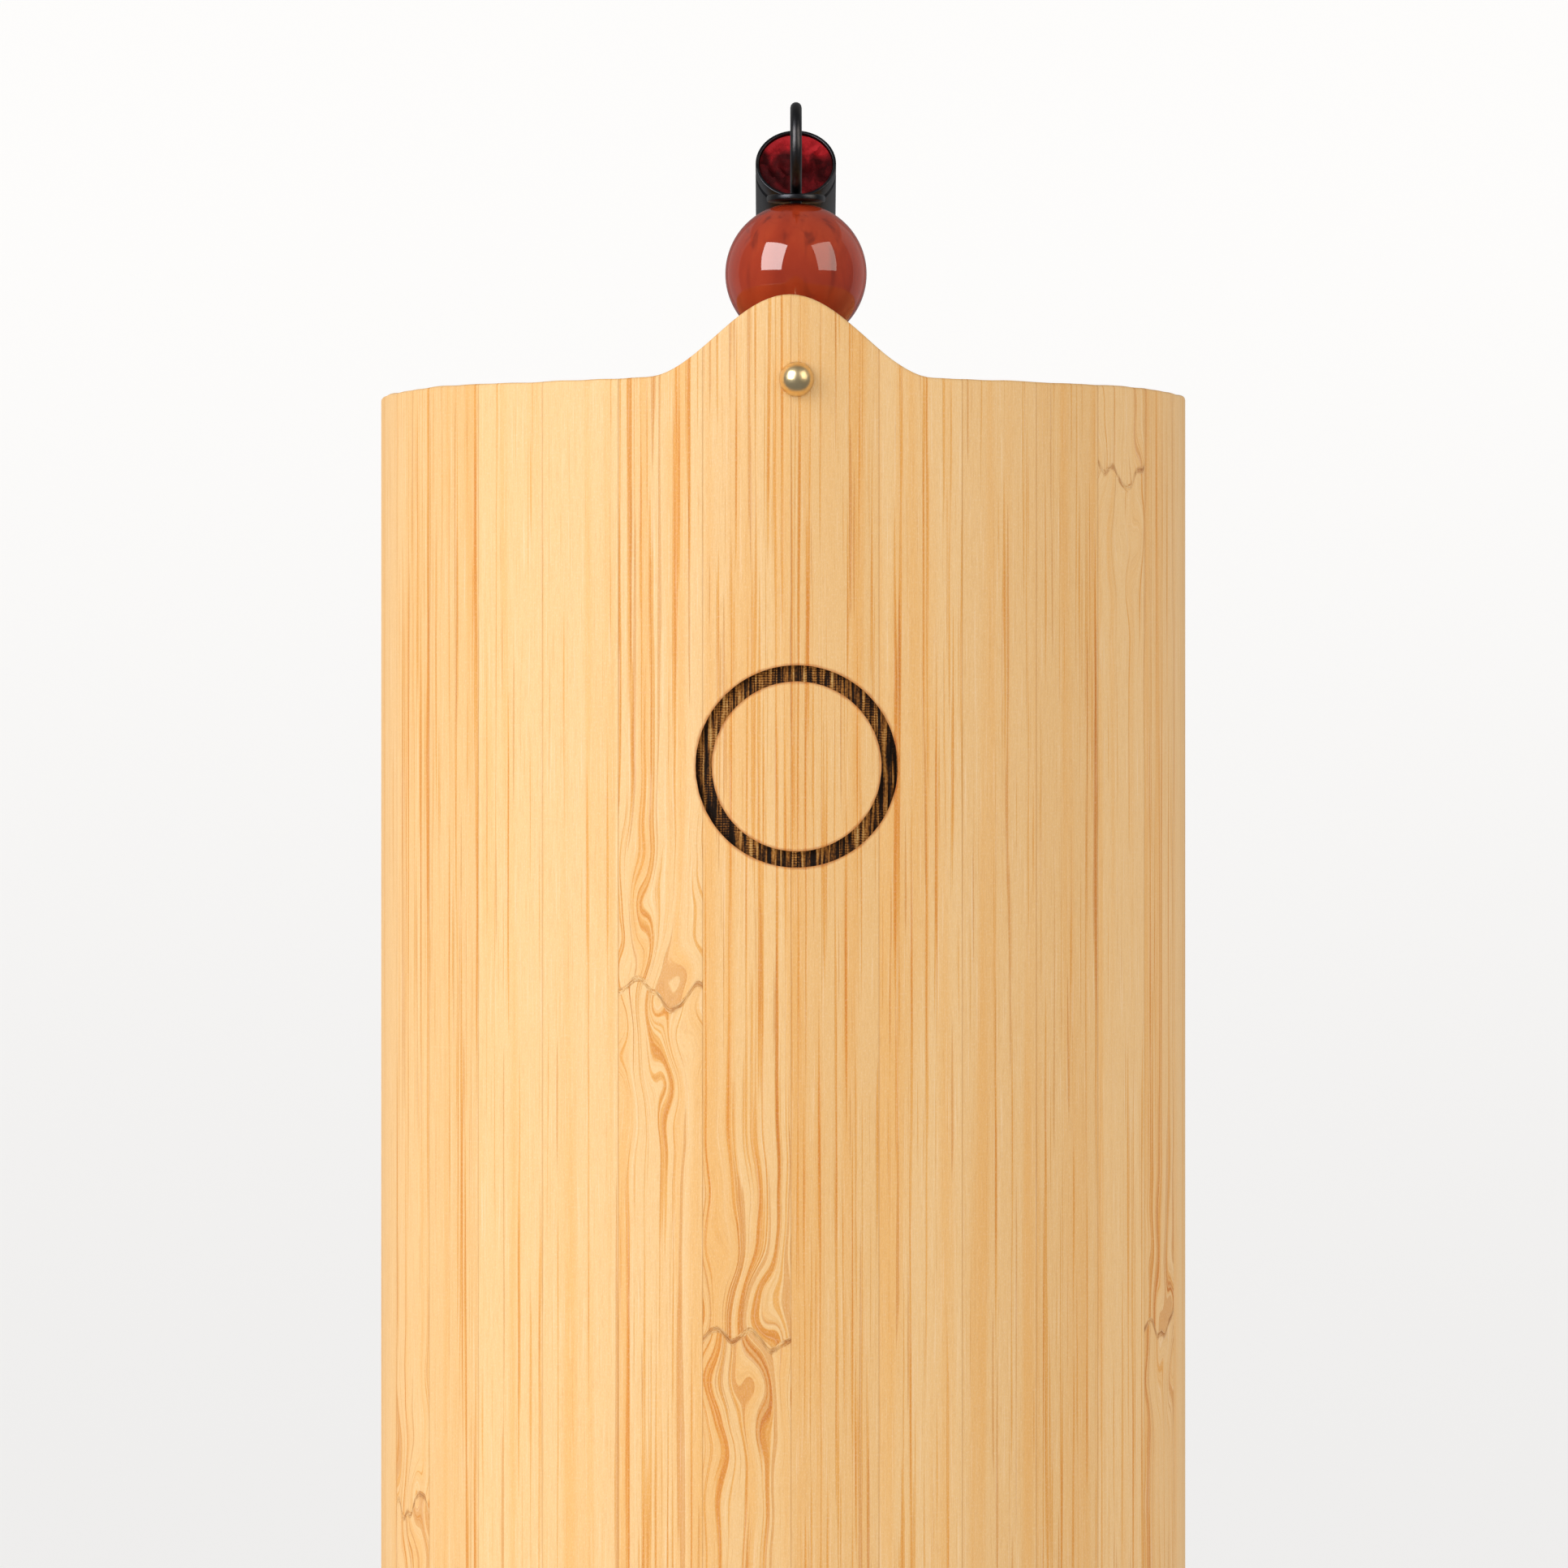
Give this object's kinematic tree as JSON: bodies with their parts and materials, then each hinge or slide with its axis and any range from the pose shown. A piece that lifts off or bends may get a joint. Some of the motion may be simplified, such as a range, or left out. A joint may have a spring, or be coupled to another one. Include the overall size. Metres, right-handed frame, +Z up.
{
  "type": "wind chime",
  "caption": "Hanging wind chime: a bamboo resonator tube with metal tone rods and a corded striker inside, a stone bead and wire loop on top, and a round wooden sail below.",
  "frame": {"origin": "top inside of the hanging wire loop, where a hook bears", "axes": "+Z up, the tube's decorated side with the front rod cap faces -Y, +X to its viewer's right"},
  "size_m": [0.063, 0.066, 0.3296],
  "materials": {
    "bamboo": "satin laminated bamboo",
    "hardwood": "oiled",
    "pale_wood": "oiled",
    "brass": "polished",
    "steel": "bright drawn",
    "black_wire": "blackened wire",
    "black_metal": "black plated",
    "jasper": "polished red-brown stone",
    "red_cord": "dyed cord",
    "dark_cord": "braided cord"
  },
  "bodies": {
    "hanger": {"hanger_wire": "black_wire", "top_washer": "black_metal", "bead_stop": "black_metal", "cord_end_sleeve": "black_metal", "red_cord_stub": "red_cord"},
    "bead": {"stone_bead": "jasper"},
    "chime_body": {"resonator_tube": "bamboo", "cross_rod": "brass", "front_rod_cap": "brass", "rear_rod_cap": "brass", "front_rod_collar": "brass", "rear_rod_collar": "brass", "front_spacer": "brass", "rear_spacer": "brass", "base_disc": "hardwood", "tone_plate": "steel", "tone_rod_1": "steel", "tone_rod_2": "steel", "tone_rod_3": "steel", "tone_rod_4": "steel", "tone_rod_5": "steel", "tone_rod_6": "steel", "tone_rod_7": "steel", "tone_rod_8": "steel", "plate_screw_1": "steel", "plate_screw_2": "steel", "plate_screw_3": "steel", "cord_grommet": "brass"},
    "yoke": {"striker_yoke": "brass"},
    "striker": {"striker_knot_top": "dark_cord", "striker_cord": "dark_cord", "striker_disc": "hardwood", "striker_knot": "dark_cord"},
    "drop_link": {"drop_bead": "dark_cord"},
    "drop_line": {"drop_cord": "dark_cord"},
    "guide": {"guide_bead": "hardwood"},
    "sail_line": {"sail_cord": "dark_cord", "sail_knot": "dark_cord"},
    "sail": {"sail_ring": "brass", "sail_disc": "pale_wood"}
  },
  "joints": [
    {"name": "bead_spin", "type": "hinge", "parent": "hanger", "child": "bead", "pos_m": [0, 0, -0.0125], "axis": [0, 0, 1], "continuous": true},
    {"name": "tube_rock", "type": "hinge", "parent": "hanger", "child": "chime_body", "pos_m": [0, 0, -0.02255], "axis": [0, 1, 0], "range_deg": [-20, 20]},
    {"name": "striker_swing_side", "type": "hinge", "parent": "chime_body", "child": "yoke", "pos_m": [0, 0, -0.02255], "axis": [0, 1, 0], "range_deg": [-4, 4]},
    {"name": "striker_swing_fore", "type": "hinge", "parent": "yoke", "child": "striker", "pos_m": [0, 0, -0.0258], "axis": [1, 0, 0], "range_deg": [-4, 4]},
    {"name": "drop_follow_side", "type": "hinge", "parent": "striker", "child": "drop_link", "pos_m": [0, 0, -0.10705], "axis": [0, 1, 0], "range_deg": [-8.5, 8.5]},
    {"name": "drop_follow_fore", "type": "hinge", "parent": "drop_link", "child": "drop_line", "pos_m": [0, 0, -0.10705], "axis": [1, 0, 0], "range_deg": [-8.5, 8.5]},
    {"name": "sail_swing_fore", "type": "hinge", "parent": "chime_body", "child": "guide", "pos_m": [0, 0, -0.1858], "axis": [1, 0, 0], "range_deg": [-30, 30]},
    {"name": "sail_swing_side", "type": "hinge", "parent": "guide", "child": "sail_line", "pos_m": [0, 0, -0.1858], "axis": [0, 1, 0], "range_deg": [-30, 30]},
    {"name": "sail_twist", "type": "hinge", "parent": "sail_line", "child": "sail", "pos_m": [0, 0, -0.2801], "axis": [0, 0, 1], "continuous": true}
  ],
  "couplings": [
    {"joint": "drop_follow_side", "follows": "striker_swing_side", "ratio": -2.073},
    {"joint": "drop_follow_fore", "follows": "striker_swing_fore", "ratio": -2.0317}
  ]
}
